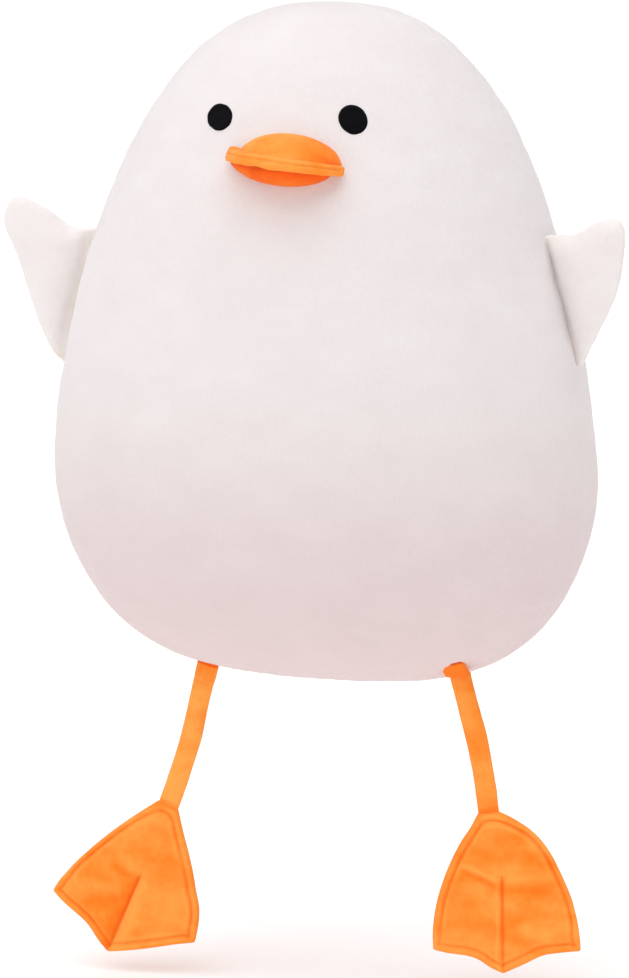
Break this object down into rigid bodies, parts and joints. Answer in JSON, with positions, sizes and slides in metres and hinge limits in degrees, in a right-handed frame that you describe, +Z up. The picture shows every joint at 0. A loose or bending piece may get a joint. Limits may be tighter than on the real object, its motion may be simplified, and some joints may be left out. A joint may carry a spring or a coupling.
{
  "type": "stuffed toy duck",
  "caption": "Plush duck with an egg-shaped stuffed body, padded bill, short side wings and thin dangling legs with webbed feet.",
  "frame": {"origin": "centre of the flat seat under the body, on its lower face", "axes": "+Z up through the crown, the duck faces -Y, +X towards the duck's own left wing"},
  "size_m": [0.4722, 0.3216, 0.6892],
  "materials": {
    "white_plush": "short smooth pile",
    "orange_plush": "short velvety pile",
    "black_patch": "close satin stitching",
    "fibre_filling": "loose fibre"
  },
  "bodies": {
    "body": {"body_front_panel": "white_plush", "body_back_panel_left": "white_plush", "body_back_panel_right": "white_plush", "base_panel": "white_plush", "body_filling": "fibre_filling", "eye_left": "black_patch", "eye_right": "black_patch", "bill_upper_cover": "orange_plush", "bill_lower_cover": "orange_plush", "bill_lip": "orange_plush", "bill_filling": "fibre_filling"},
    "wing_left": {"wing_left_front_cover": "white_plush", "wing_left_back_cover": "white_plush", "wing_left_filling": "fibre_filling"},
    "hip_left": {"hip_collar_left": "orange_plush"},
    "leg_left": {"leg_left_cover": "orange_plush", "leg_left_filling": "fibre_filling"},
    "foot_left": {"foot_left_upper_cover": "orange_plush", "foot_left_sole_cover": "orange_plush", "foot_left_padding": "fibre_filling"},
    "wing_right": {"wing_right_front_cover": "white_plush", "wing_right_back_cover": "white_plush", "wing_right_filling": "fibre_filling"},
    "hip_right": {"hip_collar_right": "orange_plush"},
    "leg_right": {"leg_right_cover": "orange_plush", "leg_right_filling": "fibre_filling"},
    "foot_right": {"foot_right_upper_cover": "orange_plush", "foot_right_sole_cover": "orange_plush", "foot_right_padding": "fibre_filling"}
  },
  "joints": [
    {"name": "wing_left_flap", "type": "hinge", "parent": "body", "child": "wing_left", "pos_m": [0.19268, -0.02806, 0.22798], "axis": [0.2331, -0.0289, -0.972], "range_deg": [-55, 45], "stiffness_Nm_per_rad": 0.02},
    {"name": "hip_left_splay", "type": "hinge", "parent": "body", "child": "hip_left", "pos_m": [0.10918, -0.037, 0.00102], "axis": [0, -1, 0], "range_deg": [-20, 55], "stiffness_Nm_per_rad": 0.004, "springref_deg": 4.58},
    {"name": "hip_left_swing", "type": "hinge", "parent": "hip_left", "child": "leg_left", "pos_m": [0.10918, -0.037, 0.00102], "axis": [-0.977, 0, -0.213], "range_deg": [-80, 85]},
    {"name": "ankle_left_fold", "type": "hinge", "parent": "leg_left", "child": "foot_left", "pos_m": [0.12899, -0.037, -0.08984], "axis": [0.977, 0, 0.213], "range_deg": [-60, 60]},
    {"name": "wing_right_flap", "type": "hinge", "parent": "body", "child": "wing_right", "pos_m": [-0.19268, -0.02806, 0.22798], "axis": [0.2331, 0.0289, 0.972], "range_deg": [-55, 45], "stiffness_Nm_per_rad": 0.02},
    {"name": "hip_right_splay", "type": "hinge", "parent": "body", "child": "hip_right", "pos_m": [-0.08381, -0.03663, -0.00684], "axis": [0, 1, 0], "range_deg": [-20, 55], "stiffness_Nm_per_rad": 0.004, "springref_deg": 8.65},
    {"name": "hip_right_swing", "type": "hinge", "parent": "hip_right", "child": "leg_right", "pos_m": [-0.08381, -0.03663, -0.00684], "axis": [-0.9588, 0, 0.284], "range_deg": [-80, 85]},
    {"name": "ankle_right_fold", "type": "hinge", "parent": "leg_right", "child": "foot_right", "pos_m": [-0.11023, -0.03663, -0.09601], "axis": [0.9588, 0, -0.284], "range_deg": [-60, 60]}
  ]
}
